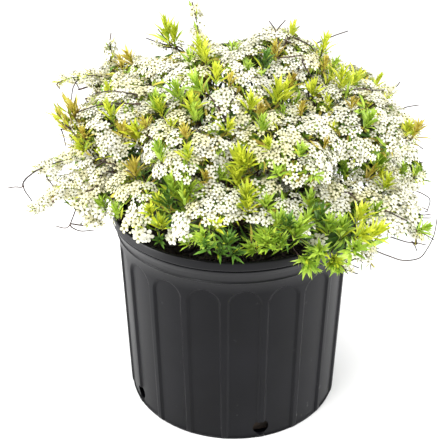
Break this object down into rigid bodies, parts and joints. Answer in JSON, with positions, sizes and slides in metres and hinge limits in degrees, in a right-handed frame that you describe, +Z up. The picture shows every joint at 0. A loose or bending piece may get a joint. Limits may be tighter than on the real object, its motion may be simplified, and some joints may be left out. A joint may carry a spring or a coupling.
{
  "type": "potted spirea shrub",
  "caption": "Rounded flowering shrub with arching woody stems, lance-shaped leaves and flat clusters of small white flowers, in a round fluted black plant pot.",
  "frame": {"origin": "centre of the pot's flat underside", "axes": "+Z up, -Y towards the front of the pictured view, +X to its right"},
  "size_m": [0.4668, 0.3928, 0.4742],
  "materials": {
    "pot": "satin black moulded plastic, slightly grazed near the foot",
    "mix": "damp dark bark chips and fibre",
    "bark": "thin brown bark with fine lengthwise relief",
    "blossom": "matt white petals among yellow-green leaves"
  },
  "bodies": {
    "root": {"mass_back": "blossom", "mass_back_centre": "blossom", "mass_back_left": "blossom", "mass_back_right": "blossom", "mass_back_side": "blossom", "mass_back_top": "blossom", "mass_front": "blossom", "mass_front_centre": "blossom", "mass_front_left": "blossom", "mass_front_right": "blossom", "mass_front_side": "blossom", "mass_front_top": "blossom", "mass_left": "blossom", "mass_left_front": "blossom", "mass_left_high": "blossom", "mass_left_low": "blossom", "mass_left_top": "blossom", "mass_right": "blossom", "mass_right_droop": "blossom", "mass_right_high": "blossom", "mass_right_low": "blossom", "mass_right_mid": "blossom", "mass_right_top": "blossom", "pot": "pot", "potting_mix": "mix", "root_crown": "bark", "spray_top": "blossom", "spray_top_left": "blossom", "stem_back": "bark", "stem_back_centre": "bark", "stem_back_left": "bark", "stem_back_right": "bark", "stem_back_side": "bark", "stem_back_top": "bark", "stem_front": "bark", "stem_front_centre": "bark", "stem_front_left": "bark", "stem_front_right": "bark", "stem_front_side": "bark", "stem_front_top": "bark", "stem_left": "bark", "stem_left_front": "bark", "stem_left_high": "bark", "stem_left_low": "bark", "stem_left_top": "bark", "stem_right": "bark", "stem_right_droop": "bark", "stem_right_high": "bark", "stem_right_low": "bark", "stem_right_mid": "bark", "stem_right_top": "bark"}
  },
  "joints": []
}
